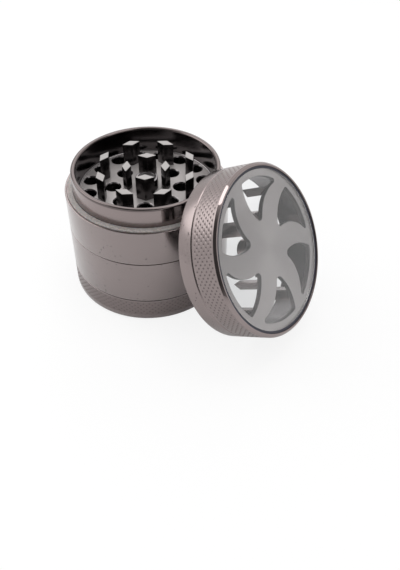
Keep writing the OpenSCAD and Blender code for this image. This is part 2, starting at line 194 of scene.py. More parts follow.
class GrinderSizes(bpy.types.PropertyGroup):
    """Sizes of the grinder's pieces, besides the radius and heights that the frame gives"""

    ledge: length("Ledge", "Width of the ledge outside each collar", 2.4)
    collar_wall: length("Collar wall", "Thickness of each collar", 1.4)
    collar_gap: length("Collar gap", "Radial gap between a collar and its socket", 0.3)
    socket_spare: length("Socket spare", "Spare depth of a socket above its collar", 0.7)
    lip: length("Lip", "Radius of the rounded lip on the smooth collar", 0.6)
    lip_band: length("Lip band", "Height of the polished band that ends the smooth collar", 0.78)
    seam: length("Seam", "Chamfer that makes each seam line", 0.08)
    seam_gap: length("Seam gap", "Fine gap left in each seam", 0.16)
    seam_deep: length("Seam depth", "Depth of that gap", 1.5)
    base_round: length("Base rounding", "Radius of the tray's bottom edge", 2.0)
    tray_floor: length("Tray floor", "Thickness of the tray's floor", 2.0)
    tray_fillet: length("Tray fillet", "Fillet inside the tray", 3.0)
    shelf_wide: length("Shelf width", "Width of the shelf under the sieve", 1.9)
    grind_depth: length("Grinding depth", "Depth from the lip down to the drilled floor", 8.35)
    floor_thick: length("Floor thickness", "Thickness of the drilled floor", 2.8)
    floor_fillet: length("Floor fillet", "Fillet where the floor meets the wall", 0.8)
    hole_wide: length("Hole diameter", "Diameter of the floor holes", 4.4)
    hole_chamfer: length("Hole chamfer", "Chamfer round each floor hole", 0.35)
    hole_inset: length("Hole inset", "From the wall to the outer ring of holes", 3.2)
    ring_step: length("Ring step", "Radial step between rings of holes and teeth", 3.75)
    tooth_long: length("Tooth length", "Length of a tooth's diamond along its ring", 5.8)
    tooth_wide: length("Tooth width", "Width of a tooth's diamond across its ring", 2.8)
    tooth_drop: length("Tooth drop", "How far the chamber teeth stop below the lip", 0.65)
    tooth_edge: length("Tooth edge", "Rounding of a tooth's edges", 0.09)
    post_wide: length("Post diameter", "Diameter of the magnet posts", 7.0)
    post_gap: length("Post gap", "Gap between the post and the inner teeth", 1.0)
    magnet_wide: length("Magnet diameter", "Diameter of each magnet", 5.0)
    magnet_thick: length("Magnet thickness", "Thickness of each magnet", 2.0)
    magnet_gap: length("Magnet gap", "Radial gap round each magnet", 0.05)
    glide_rim: length("Glide rim", "Metal rim left outside the glide ring", 0.6)
    glide_stand: length("Glide stand", "How far the glide ring stands above the ledge", 0.3)
    lid_depth: length("Lid depth", "From the lid's edge to the underside of the blades", 10.0)
    blade_thick: length("Blade thickness", "Thickness of the bladed plate", 1.5)
    clear_thick: length("Window thickness", "From the bladed plate to the top of the clear disc", 1.1)
    clear_air: length("Window air", "Air left between the clear disc and the plate", 0.06)
    clear_gap: length("Window gap", "Fitting gap round the clear disc", 0.03)
    clear_recess: length("Window recess", "How far the clear disc lies below the bezel", 0.4)
    mouth: length("Mouth chamfer", "Chamfer inside the mouth of the lid", 0.8)
    groove_z: length("Groove height", "Height of the V groove above the lid's edge", 4.7)
    groove_deep: length("Groove depth", "Depth of the V groove", 0.28)
    bezel: length("Bezel", "Width of the bright bezel round the window", 1.1)
    bezel_dish: length("Bezel dish", "How far the bezel falls towards the window", 0.06)
    bezel_slope: length("Bezel slope", "Height of the bezel's sloping edge", 0.66)
    lid_tooth_drop: length("Lid tooth drop", "How far the lid's teeth stop short of its edge", 0.8)
    lid_tooth_inset: length("Lid tooth inset", "From the wall to the lid's outer teeth", 2.8)
    window_margin: length("Window margin", "Plate left between the windows and the seat", 2.9)
    window_round: length("Window rounding", "Rounding of the windows' corners at the rim", 0.7)
    window_tip: length("Window tip", "Rounding of the windows' inner ends", 1.3)
    gasket: length("Gasket", "Width of the dark gasket round the clear disc", 0.7)
    dimple: length("Dimple", "Diameter of a grip dimple", 0.56)
    dimple_deep: length("Dimple depth", "Depth of a grip dimple", 0.13)
    dimple_row: length("Dimple rows", "Distance between rows of dimples", 0.8)
    thread_pitch: length("Thread pitch", "Rise of the screw threads in one turn", 1.8)
    thread_deep: length("Thread depth", "Depth of the screw threads", 0.45)
    dimples_round: quantity("Dimples", "Dimples in each row", 88, 12)
    blades: quantity("Blades", "Number of blades in the lid", 6, 3)
    outer_holes: quantity("Outer holes", "Holes in the floor's outer ring", 16, 1)
    inner_holes: quantity("Inner holes", "Holes in the floor's inner ring", 8, 1)
    outer_teeth: quantity("Outer teeth", "Teeth in the chamber's outer ring", 8, 1)
    inner_teeth: quantity("Inner teeth", "Teeth in the chamber's inner ring", 4, 1)


class GrinderColours(bpy.types.PropertyGroup):
    """Colours of the grinder's finishes and of the floor"""

    gunmetal: colour("Gunmetal", "Glossy plating of every section", (0.272, 0.229, 0.224))
    # Darkened plating on the faces inside the sections and the lid, as painted shade
    shaded_recess: colour("Recess", "Darker plating inside the chamber", (0.165, 0.153, 0.155))
    drilled: colour("Drilled floor", "Satin face of the drilled floor", (0.42, 0.392, 0.385))
    machined: colour("Machined", "Faces machined bright, such as the teeth's tops", (0.3, 0.285, 0.28))
    plate: colour("Blade plate", "Turned face of the bladed plate", (0.405, 0.377, 0.371))
    nylon: colour("Nylon", "Glide ring", (0.4, 0.372, 0.358))
    steel: colour("Steel", "Sieve and its ring", (0.55, 0.54, 0.52))
    magnet: colour("Magnet", "Nickel on the magnets", (0.62, 0.61, 0.60))
    gasket: colour("Gasket", "Dark gasket round the clear disc", (0.035, 0.035, 0.05))
    acrylic: colour("Acrylic", "Tint of the clear disc", (0.86, 0.865, 0.87))
    ground: colour("Floor", "Plain pale floor", (0.93, 0.93, 0.93))
    mottle: colour("Floor mottle", "Faint cloudy tone of the floor", (0.88, 0.88, 0.88))


# ---------------------------------------------------------------- shader maths


class Wire:
    """A socket of a finish. Arithmetic on wires adds the Math nodes."""

    def __init__(self, finish, socket):
        self.finish = finish
        self.socket = socket

    def maths(self, operation, *values):
        """Adds a Math node on wires and numbers."""
        return self.finish.node("ShaderNodeMath", {"operation": operation}, dict(enumerate(values)))

    def __add__(self, other):
        return self.maths("ADD", self, other)

    def __radd__(self, other):
        return self.maths("ADD", other, self)

    def __sub__(self, other):
        return self.maths("SUBTRACT", self, other)

    def __rsub__(self, other):
        return self.maths("SUBTRACT", other, self)

    def __mul__(self, other):
        return self.maths("MULTIPLY", self, other)

    def __rmul__(self, other):
        return self.maths("MULTIPLY", other, self)

    def __truediv__(self, other):
        return self.maths("DIVIDE", self, other)

    def __rtruediv__(self, other):
        return self.maths("DIVIDE", other, self)

    def __gt__(self, other):
        return self.maths("GREATER_THAN", self, other)

    def larger(self, other):
        """The larger of two values."""
        return self.maths("MAXIMUM", self, other)

    def sine(self):
        return self.maths("SINE", self)


class Finish:
    """The nodes of a material, or of the world, in the making."""

    # The sockets of a Mix node that are for colours. Others have the same names
    MIX_A, MIX_B, MIX_RESULT = 6, 7, 2

    def __init__(self, name, kind="materials"):
        self.owner = getattr(bpy.data, kind).new(f"{name}_finish")
        self.owner.use_nodes = True
        self.tree = self.owner.node_tree
        self.tree.nodes.clear()

    def node(self, kind, settings=None, sockets=None, output=0):
        """Adds a node: its settings first, then the value or wire of each socket."""
        made = self.tree.nodes.new(kind)
        for key, value in (settings or {}).items():
            if key == "stops":
                self.set_stops(made.color_ramp, value)
            else:
                setattr(made, key, value)
        for key, value in (sockets or {}).items():
            if isinstance(value, Wire):
                self.tree.links.new(value.socket, made.inputs[key])
            else:
                made.inputs[key].default_value = value
        return Wire(self, made.outputs[output]) if made.outputs else None

    @staticmethod
    def set_stops(ramp, stops):
        """Sets the grey stops of a ramp, each a position and a level."""
        while len(ramp.elements) < len(stops):
            ramp.elements.new(1.0)
        for element, (position, level) in zip(ramp.elements, stops):
            element.position = position
            element.color = (level, level, level, 1.0)

    def place(self):
        """Where a point lies on its piece, in metres."""
        return self.node("ShaderNodeTexCoord", output="Object")

    def ray(self, kind):
        """1 for rays of one kind, and 0 for the others."""
        return self.node("ShaderNodeLightPath", output=kind)

    def noise(self, per_metre, detail=2.0, rough=0.5, stretch=None):
        """Soft noise, stretched along an axis where that axis has the smaller factor."""
        where = self.place()
        if stretch:
            where = self.vector("MULTIPLY", where, stretch)
        sockets = {"Vector": where, "Scale": per_metre, "Detail": detail, "Roughness": rough}
        return self.node("ShaderNodeTexNoise", {}, sockets)

    def vector(self, operation, a, b=None, output=0):
        """Adds a Vector Math node."""
        sockets = {0: a}
        if b is not None:
            sockets["Scale" if operation == "SCALE" else 1] = b
        return self.node("ShaderNodeVectorMath", {"operation": operation}, sockets, output)

    def dot(self, a, direction):
        """How far a vector reaches along a fixed direction."""
        return self.vector("DOT_PRODUCT", a, tuple(direction), output="Value")

    def ramp(self, value, stops):
        """The grey level that a ramp gives a value."""
        return self.node("ShaderNodeValToRGB", {"stops": stops}, {"Fac": value})

    def blend(self, share, a, b):
        """Colour a where share is 0 and colour b where it is 1."""
        sockets = {"Factor": share, self.MIX_A: a, self.MIX_B: b}
        return self.node("ShaderNodeMix", {"data_type": "RGBA"}, sockets, self.MIX_RESULT)

    def bump(self, height, metres, strength=1.0):
        """A normal from a height between 0 and 1, where 1 stands for so many metres."""
        return self.node("ShaderNodeBump", {}, {"Height": height, "Distance": metres, "Strength": strength})

    def surface(self, **sockets):
        """The Principled shader. An underscore in a socket's name stands for a space."""
        named = {key.replace("_", " "): value for key, value in sockets.items()}
        return self.node("ShaderNodeBsdfPrincipled", {}, named, output="BSDF")

    def done(self, shader):
        """Ends a material with its shader."""
        self.node("ShaderNodeOutputMaterial", {}, {"Surface": shader})
        return self.owner


def shade(tone, share):
    """A tone made darker or paler."""
    return tuple(value * share for value in tone)


def rgba(tone, share=1.0):
    """A tone, made darker or paler, as a colour socket takes it."""
    return (*shade(tone, share), 1.0)


def smooth_step(value, low, high, top):
    """Rises softly from 0 to the top as a value goes from low to high."""
    return value.finish.node(
        "ShaderNodeMapRange", {"interpolation_type": "SMOOTHSTEP", "clamp": True},
        {"Value": value, "From Min": low, "From Max": high, "To Min": 0.0, "To Max": top})


# ---------------------------------------------------------------- finishes


def plated_metal(name, tone, rough, speckle=0.0, grain=0.0, turned=0.0, lacquer=0.0):
    """Glossy plating with faint clouds and hairline marks, and with specks where they are asked for.

    Turned plating blurs what it mirrors along the lathe's axis more than round it.
    """
    cloud_share, cloud_shade = 0.2, 0.86
    speck_share, speck_shade = 0.6, 0.2
    quarter_turn = 0.25
    finish = Finish(name)
    clouds = finish.noise(per_metre=140, detail=3.0)
    hairs = finish.noise(per_metre=900, stretch=(1.0, 1.0, 14.0))
    pores = finish.noise(per_metre=5200, detail=1.0)
    base = finish.blend(clouds * cloud_share, rgba(tone), rgba(tone, cloud_shade))
    if speckle:
        specks = finish.noise(per_metre=1100, detail=0.0) > (1.0 - speckle)
        base = finish.blend(specks * speck_share, base, rgba(tone, speck_shade))
    uneven = rough * (0.9 + 0.2 * clouds) + 0.04 * (hairs - 0.5)
    height = hairs * 0.6 + pores * (0.4 + grain)
    return finish.done(finish.surface(
        Base_Color=base, Metallic=1.0, Roughness=uneven,
        Anisotropic=turned, Anisotropic_Rotation=quarter_turn,
        Coat_Weight=lacquer, Coat_Roughness=0.1,
        Normal=finish.bump(height, metres=2.0e-6, strength=0.35 + grain)))


def turned_metal(name, tone, rough, centre, axis, sheen, metallic):
    """Metal faced on a lathe: fine rings about an axis, and a painted sheen that is paler along the sheen's
    way and near the axis.
    """
    pale, dark = 1.12, 0.82
    hub_size, hub_fall, hub_least = 2.0 * MM, 400, 1.5
    finish = Finish(name)
    clouds = finish.noise(per_metre=210)
    grain = finish.noise(per_metre=4200, rough=0.6)
    arm = finish.vector("SUBTRACT", finish.place(), tuple(centre))
    along = finish.vector("SCALE", tuple(axis), finish.dot(arm, axis))
    spoke = finish.vector("SUBTRACT", arm, along)
    radius = finish.vector("LENGTH", spoke, output="Value")
    marks = finish.node(
        "ShaderNodeTexNoise", {"noise_dimensions": "1D"},
        {"W": radius, "Scale": 2200, "Detail": 3.0, "Roughness": 0.6})
    reach = finish.dot(spoke, sheen)
    painted_sheen = (reach * reach) / (radius * radius + hub_size ** 2)
    painted_middle_highlight = 1.0 / (radius * hub_fall + hub_least)
    # Painted highlights: the turned face is made paler along the sheen's way and near the axis, where it
    # would catch the light
    share = 0.65 + clouds * 0.2 + marks * 0.3 - painted_sheen * 0.75 - painted_middle_highlight
    base = finish.blend(share, rgba(tone, pale), rgba(tone, dark))
    uneven = rough + 0.1 * (marks - 0.5) + 0.06 * (grain - 0.5)
    return finish.done(finish.surface(
        Base_Color=base, Metallic=metallic, Roughness=uneven,
        Normal=finish.bump(marks + 0.4 * grain, metres=4.0e-6, strength=0.3)))


def satin_metal(name, tone, rough):
    """Fine satin of a machined or blasted face."""
    worn_share, worn_shade = 0.4, 0.8
    finish = Finish(name)
    grain = finish.noise(per_metre=4200, detail=3.0, rough=0.6)
    wear_and_bump_shade = finish.noise(per_metre=320)
    base = finish.blend(wear_and_bump_shade * worn_share, rgba(tone), rgba(tone, worn_shade))
    return finish.done(finish.surface(
        Base_Color=base, Metallic=1.0, Roughness=rough + 0.14 * (grain - 0.5),
        Normal=finish.bump(grain, metres=5.0e-6, strength=0.5)))


def moulded_nylon(name, tone):
    """Milky glide plastic, rough from its mould, with short rubbed streaks."""
    shaded_hollow, lit_crest = 0.7, 1.25
    finish = Finish(name)
    pebbles = finish.noise(per_metre=2100, detail=3.0, rough=0.65)
    streaks = finish.noise(per_metre=700, stretch=(1.0, 2.6, 1.0))
    # Painted shade and highlight: darker in the hollows of the pebbled bumps, paler on their crests
    wear_and_bump_shade = finish.ramp(pebbles, [(0.35, 0.0), (0.65, 1.0)])
    base = finish.blend(wear_and_bump_shade, rgba(tone, shaded_hollow), rgba(tone, lit_crest))
    return finish.done(finish.surface(
        Base_Color=base, Roughness=0.34 + 0.2 * streaks,
        Subsurface_Weight=0.15, Subsurface_Scale=0.6 * MM,
        Normal=finish.bump(pebbles + 0.5 * streaks, metres=6.0e-5, strength=0.8)))


def woven_steel(name, tone):
    """Fine steel cloth: two sets of round wires that pass over and under."""
    wire_pitch = 0.32 * MM
    gap_shade = 0.25
    finish = Finish(name)
    across, along = (
        finish.node("ShaderNodeSeparateXYZ", {}, {0: finish.place()}, output=side) for side in "XY")
    warp = (across * (TURN / wire_pitch)).sine()
    weft = (along * (TURN / wire_pitch)).sine()
    cloth = 0.5 + 0.25 * warp + 0.25 * weft
    # Painted shade: darker between the wires, where they pass under each other
    base = finish.blend(cloth, rgba(tone, gap_shade), rgba(tone))
    return finish.done(finish.surface(
        Base_Color=base, Metallic=1.0, Roughness=0.3 + 0.1 * cloth,
        Normal=finish.bump(cloth, metres=8.0e-5, strength=0.7)))


def dull_rubber(name, tone):
    """Dark rubber with a dusty grain."""
    dark, dusty = 0.8, 1.3
    finish = Finish(name)
    grain = finish.noise(per_metre=3000)
    base = finish.blend(grain, rgba(tone, dark), rgba(tone, dusty))
    return finish.done(finish.surface(
        Base_Color=base, Roughness=0.45 + 0.2 * grain,
        Normal=finish.bump(grain, metres=1.0e-5, strength=0.4)))


def clear_acrylic(name, tone):
    """Clear plastic with a faint haze of dust and fine rubs. It lets the lamps' light straight through."""
    dust_share, dust_tone = 0.12, (0.8, 0.8, 0.8)
    passed_tone = (0.95, 0.95, 0.95)
    finish = Finish(name)
    dust = finish.ramp(finish.noise(per_metre=900, detail=4.0, rough=0.6), [(0.55, 0.0), (0.8, 1.0)])
    base = finish.blend(dust * dust_share, rgba(tone), rgba(dust_tone))
    plastic = finish.surface(
        Base_Color=base, Roughness=0.01 + 0.1 * dust, Transmission_Weight=1.0, IOR=1.49)
    passed = finish.node("ShaderNodeBsdfTransparent", {}, {"Color": rgba(passed_tone)})
    lamp_ray = finish.ray("Is Shadow Ray")
    return finish.done(finish.node("ShaderNodeMixShader", {}, {0: lamp_ray, 1: plastic, 2: passed}))


def material(name):
    """The finish of that name, made the first time it is asked for."""
    made = bpy.data.materials.get(f"{name}_finish")
    if made:
        return made
    c = bpy.context.scene.grinder_colours
    makers = {
        "gunmetal": lambda: plated_metal(name, c.gunmetal, rough=0.24, speckle=0.21),
        "gunmetal_turned": lambda: plated_metal(
            name, shade(c.gunmetal, 0.92), rough=0.22, speckle=0.21, turned=0.85, lacquer=0.6),
        "gunmetal_polished": lambda: plated_metal(name, c.gunmetal, rough=0.07),
        "collar": lambda: plated_metal(name, c.gunmetal, rough=0.15, turned=0.9),
        # The lip: a much darker copy of the gunmetal, as painted shade
        "lip": lambda: plated_metal(name, shade(c.gunmetal, 0.5), rough=0.08),
        # The bezel: a slightly paler copy of the gunmetal, as a painted highlight
        "bezel": lambda: plated_metal(name, shade(c.gunmetal, 1.05), rough=0.04),
        "grip": lambda: plated_metal(name, c.gunmetal, rough=0.3, grain=0.2),
        # The tray's grip: a darker copy of the gunmetal, as painted shade
        "shaded_base_grip": lambda: plated_metal(name, shade(c.gunmetal, 0.84), rough=0.3, grain=0.2),
        # Dimples: a darker copy of the gunmetal, as painted shade in their bowls
        "dimple": lambda: plated_metal(name, shade(c.gunmetal, 0.6), rough=0.3),
        "thread": lambda: plated_metal(name, shade(c.gunmetal, 0.8), rough=0.28),
        # Inside faces: a dark plating, as painted shade
        "shaded_recess": lambda: plated_metal(name, c.shaded_recess, rough=0.14),
        # The drilled floor: a turned face with a painted sheen
        "drilled_floor": lambda: turned_metal(
            name, c.drilled, rough=0.5, centre=(0, 0, 0), axis=(0, 0, 1), sheen=(0, 1, 0), metallic=0.5),
        # The teeth's sides: a darker copy of the inside plating, as painted shade
        "shaded_tooth_side": lambda: plated_metal(name, shade(c.shaded_recess, 0.6), rough=0.22),
        "tooth_top": lambda: satin_metal(name, c.machined, rough=0.38),
        # The blade plate: a turned face with a painted sheen along PLATE_SHEEN
        "blade_plate": lambda: turned_metal(
            name, c.plate, rough=0.38, centre=LID_AT, axis=LID_AXIS, sheen=PLATE_SHEEN, metallic=1.0),
        # The windows' walls in the plate: a dark copy of the plate, as painted shade
        "shaded_blade_edge": lambda: satin_metal(name, shade(c.plate, 0.45), rough=0.35),
        "nylon": lambda: moulded_nylon(name, c.nylon),
        "steel_cloth": lambda: woven_steel(name, c.steel),
        "steel_ring": lambda: satin_metal(name, c.steel, rough=0.3),
        "magnet": lambda: satin_metal(name, c.magnet, rough=0.22),
        # The chamber's magnet, deep among the teeth: a dark copy of the inside plating in place of nickel,
        # as painted shade
        "shaded_magnet": lambda: satin_metal(name, shade(c.shaded_recess, 0.6), rough=0.4),
        "gasket": lambda: dull_rubber(name, c.gasket),
        "acrylic": lambda: clear_acrylic(name, c.acrylic),
    }
    return makers[name]()


def materials(*names):
    """The finishes of those names, in order."""
    return [material(name) for name in names]


# ---------------------------------------------------------------- mesh building


def rounded(corners, steps=4):
    """Points of a section whose corners (r, z, radius, finish) are rounded, each with its finish.

    The finish is that of the stretch that leaves the point. The first and last corners stay sharp.
    """
    most_of_side = 0.49
    points = []
    for i, (r, z, radius, finish) in enumerate(corners):
        here = Vector((r, z))
        if radius <= 0 or i in (0, len(corners) - 1):
            points.append((here, finish))
            continue
        before = Vector(corners[i - 1][:2]) - here
        after = Vector(corners[i + 1][:2]) - here
        half = before.angle(after) / 2
        reach = min(radius / math.tan(half), most_of_side * before.length, most_of_side * after.length)
        start, end = here + before.normalized() * reach, here + after.normalized() * reach
        bisector = (before.normalized() + after.normalized()).normalized()
        middle = here + bisector * (reach / math.cos(half))
        arm, last = start - middle, end - middle
        swing = swing_between(arm, last)
        for k in range(steps + 1):
            turn = Matrix.Rotation(swing * k / steps, 2)
            points.append((middle + turn @ arm, finish))
    return points


def swing_between(arm, last):
    """The angle that turns one flat arm onto another, the short way round."""
    return math.atan2(arm.x * last.y - arm.y * last.x, arm.dot(last))


def circle(r, z, count):
    """A ring of points. The radius may be a function of the angle."""
    ring = []
    for k in range(count):
        a = TURN * k / count
        reach = r(a) if callable(r) else r
        ring.append(Vector((reach * math.cos(a), reach * math.sin(a), z)))
    return ring


class Shape:
    """A mesh in the making: points, faces and the finish of each face."""

    def __init__(self):
        self.points, self.faces, self.finishes, self.smooth = [], [], [], []

    def add(self, points, faces, finish, smooth=False):
        """Adds faces that stay flat, unless smooth is set."""
        base = len(self.points)
        self.points.extend(points)
        for face in faces:
            self.faces.append([base + k for k in face])
            self.finishes.append(finish)
            self.smooth.append(smooth)

    def cap(self, ring, finish, smooth=False):
        """Closes a ring with one face."""
        self.add(ring, [list(range(len(ring)))], finish, smooth)

    def skin(self, rings, finishes):
        """Joins rings of equally many points, one after the other."""
        base, count = len(self.points), len(rings[0])
        for ring in rings:
            self.points.extend(ring)
        for i, finish in enumerate(finishes[:len(rings) - 1]):
            for k in range(count):
                a, b = base + i * count + k, base + i * count + (k + 1) % count
                self.faces.append([a, b, b + count, a + count])
                self.finishes.append(finish)
                self.smooth.append(True)

    def lathe(self, corners, count):
        """Turns a section, an open line from corner to corner."""
        line = rounded(corners)
        self.skin([circle(p.x, p.y, count) for p, _ in line], [f for _, f in line])

    def disc(self, r, z, count, finish):
        """A flat round face, with a narrow border that keeps its shading flat."""
        inner = circle(r - DISC_BORDER, z, count)
        self.skin([circle(r, z, count), inner], [finish])
        self.cap(inner, finish)

    def thread(self, r, low, high, pitch, depth, count, finish):
        """A wall with a screw thread cut into it, from height low to high, fading at both ends."""
        rows_per_pitch, least_rows = 14, 8
        fade_rate = 7
        flank_slope, root_wide = 4.8, 0.7
        rows = max(least_rows, round((high - low) / pitch * rows_per_pitch))
        rings = []
        for i in range(rows + 1):
            share = i / rows
            z = low + (high - low) * share
            fade = min(1.0, share * fade_rate, (1 - share) * fade_rate)

            def reach(a, z=z, fade=fade):
                phase = (z / pitch - a / TURN) % 1.0
                flank = min(1.0, max(0.0, flank_slope * abs(phase - 0.5) - root_wide))
                return r - depth * fade * (1 - flank)

            rings.append(circle(reach, z, count))
        self.skin(rings, [finish] * rows)

    def dimples(self, r, low, high, sizes, wall, bowl):
        """A band of staggered dimples in a round wall, between plain margins."""
        plain_rows = 0.6
        per_row = sizes.dimples_round
        rows = int((high - low) / sizes.dimple_row - plain_rows)
        start = (low + high - rows * sizes.dimple_row) / 2
        top = start + rows * sizes.dimple_row
        count = per_row * CELL_EDGE
        self.skin([circle(r, low, count), circle(r, start, count)], [wall])
        self.skin([circle(r, top, count), circle(r, high, count)], [wall])
        step = TURN / per_row
        for i in range(rows):
            for k in range(per_row):
                middle = (k + 0.5 * (i % 2)) * step
                self.dimple(r, middle, step, start + i * sizes.dimple_row, sizes, wall, bowl)

    def dimple(self, r, middle, step, low, sizes, wall, bowl):
        """One cell of the band: a square edge, a soft round rim and a bowl."""
        high = low + sizes.dimple_row
        edge = []
        for side in range(4):
            for k in range(CELL_EDGE):
                s = k / CELL_EDGE
                u, v = ((s, 0), (1, s), (1 - s, 1), (0, 1 - s))[side]
                edge.append((step * r * (u - 0.5), (high - low) * (v - 0.5)))
        rings = [[(x, z, 0.0) for x, z in edge]]
        for wide, deep in DIMPLE_BOWL:
            ring = []
            for x, z in edge:
                a = math.atan2(z, x)
                out = wide * sizes.dimple
                ring.append((out * math.cos(a), out * math.sin(a), deep * sizes.dimple_deep))
            rings.append(ring)
        around = []
        for ring in rings:
            points = []
            for x, z, deep in ring:
                a = middle + x / r
                reach = r - deep
                points.append(Vector((reach * math.cos(a), reach * math.sin(a), (low + high) / 2 + z)))
            around.append(points)
        self.skin(around, [wall, wall] + [bowl] * (len(around) - 3))
        self.cap(around[-1], bowl, smooth=True)

    def plate(self, outline, holes, top, bottom, wall):
        """A flat plate. The outline and each hole are lists of rings, from the top face to the bottom."""
        inside_only, nearness = 1, 1e-9
        for end, finish in ((0, top), (-1, bottom)):
            loops = [outline[end]] + [hole[end] for hole in holes]
            flat, edges, base = [], [], 0
            for loop in loops:
                flat.extend(p.xy for p in loop)
                edges.extend((base + k, base + (k + 1) % len(loop)) for k in range(len(loop)))
                base += len(loop)
            found = delaunay_2d_cdt(flat, edges, [], inside_only, nearness)
            z = outline[end][0].z
            faces = [f for f in found[2] if not self.in_hole(found[0], f, loops[1:])]
            self.add([Vector((p.x, p.y, z)) for p in found[0]], faces, finish)
        for rings in holes:
            self.skin(rings, [wall] * (len(rings) - 1))

    @staticmethod
    def in_hole(points, face, loops):
        """True where a triangle's middle lies in one of the loops."""
        x = sum(points[k].x for k in face) / len(face)
        y = sum(points[k].y for k in face) / len(face)
        for loop in loops:
            inside = False
            for k, p in enumerate(loop):
                q = loop[k - 1]
                if (p.y > y) != (q.y > y) and x < (q.x - p.x) * (y - p.y) / (q.y - p.y) + p.x:
                    inside = not inside
            if inside:
                return True
        return False

    def piece(self, name, place, finishes, body):
        """Makes the object, puts it in place and lets it ride on its body."""
        mesh = bpy.data.meshes.new(name)
        mesh.from_pydata([place @ p for p in self.points], [], self.faces)
        for finish in finishes:
            mesh.materials.append(finish)
        mesh.polygons.foreach_set("material_index", self.finishes)
        mesh.polygons.foreach_set("use_smooth", self.smooth)
        bm = bmesh.new()
        bm.from_mesh(mesh)
        bmesh.ops.remove_doubles(bm, verts=bm.verts, dist=WELD)
        bmesh.ops.recalc_face_normals(bm, faces=bm.faces)
        bm.to_mesh(mesh)
        bm.free()
        # Marking the sharp edges resets the flat faces, so those are kept and set again
        smooth = [face.use_smooth for face in mesh.polygons]
        mesh.set_sharp_from_angle(angle=SHARP)
        mesh.polygons.foreach_set("use_smooth", smooth)
        made = bpy.data.objects.new(name, mesh)
        bpy.context.scene.collection.objects.link(made)
        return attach(made, body)


def plan_of(sizes):
    """Radii and heights that follow from the sizes."""
    plan = SimpleNamespace()
    plan.collar_r = BODY_R - sizes.ledge
    plan.bore_r = plan.collar_r - sizes.collar_wall
    plan.socket_r = plan.collar_r + sizes.collar_gap
    plan.socket_h = TRAY_TOP - SEAM_LOW + sizes.socket_spare
    plan.floor_z = LIP_Z - sizes.grind_depth
    plan.ledge_z = GLIDE_TOP - sizes.glide_stand
    plan.hole_out = plan.bore_r - sizes.hole_inset
    plan.tooth_out = plan.hole_out - sizes.ring_step
    plan.hole_in = plan.tooth_out - sizes.ring_step
    plan.tooth_in = sizes.post_wide / 2 + sizes.post_gap + sizes.tooth_wide / 2
    plan.seat_r = BODY_R - sizes.bezel
    plan.reach = plan.seat_r - sizes.window_margin
    plan.plate_top = sizes.lid_depth + sizes.blade_thick
    plan.lid_h = plan.plate_top + sizes.clear_thick + sizes.clear_recess
    return plan


# ---------------------------------------------------------------- the pieces


def build_tray(sizes):
    """The bottom section: a dimpled grip, a threaded collar and a rounded inside."""
    plan = plan_of(sizes)
    plated, thread, grip, dimple, polished = range(5)
    count = sizes.dimples_round * CELL_EDGE
    grip_low, grip_high = sizes.base_round + BASE_BORDER, SEAM_LOW - sizes.seam - GRIP_BORDER
    thread_low, thread_high = SEAM_LOW + THREAD_BORDER, TRAY_TOP - THREAD_BORDER
    inner_flat = plan.bore_r - sizes.tray_fillet - FLAT_BORDER
    outer_flat = BODY_R - sizes.base_round - FLAT_BORDER
    shape = Shape()
    shape.lathe([
        (BODY_R, grip_high, 0, plated), (BODY_R, SEAM_LOW - sizes.seam, EDGE, plated),
        (BODY_R - sizes.seam, SEAM_LOW, EDGE, plated), (plan.collar_r, SEAM_LOW, EDGE, plated),
        (plan.collar_r, thread_low, 0, plated)], count)
    shape.thread(
        plan.collar_r, thread_low, thread_high, sizes.thread_pitch, sizes.thread_deep, count, thread)
    shape.lathe([
        (plan.collar_r, thread_high, 0, plated), (plan.collar_r, TRAY_TOP, COLLAR_ROUND_OUT, plated),
        (plan.bore_r, TRAY_TOP, COLLAR_ROUND_IN, plated),
        (plan.bore_r, sizes.tray_floor, sizes.tray_fillet, polished),
        (inner_flat, sizes.tray_floor, 0, polished)], count)
    shape.disc(inner_flat, sizes.tray_floor, count, polished)
    shape.disc(outer_flat, 0.0, count, plated)
    shape.lathe([
        (outer_flat, 0.0, 0, plated), (BODY_R, 0.0, sizes.base_round, plated),
        (BODY_R, grip_low, 0, plated)], count)
    shape.dimples(BODY_R, grip_low, grip_high, sizes, grip, dimple)
    tray = shape.piece(
        "tray_shell", UPRIGHT,
        materials("gunmetal_turned", "thread", "shaded_base_grip", "dimple", "gunmetal_polished"),
        "tray")
    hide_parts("tray")


def socket_corners(plan, sizes, bottom, plated, seam):
    """The corners of a socket in the underside of a section, from its mouth inwards."""
    gap_top = bottom + sizes.seam_gap
    gap_r = BODY_R - sizes.seam_deep
    return [
        (BODY_R, gap_top + sizes.seam, EDGE, plated), (BODY_R - sizes.seam, gap_top, EDGE, seam),
        (gap_r, gap_top, 0, seam), (gap_r, bottom, 0, plated),
        (plan.socket_r, bottom, EDGE, plated), (plan.socket_r, bottom + THREAD_BORDER, 0, plated)]


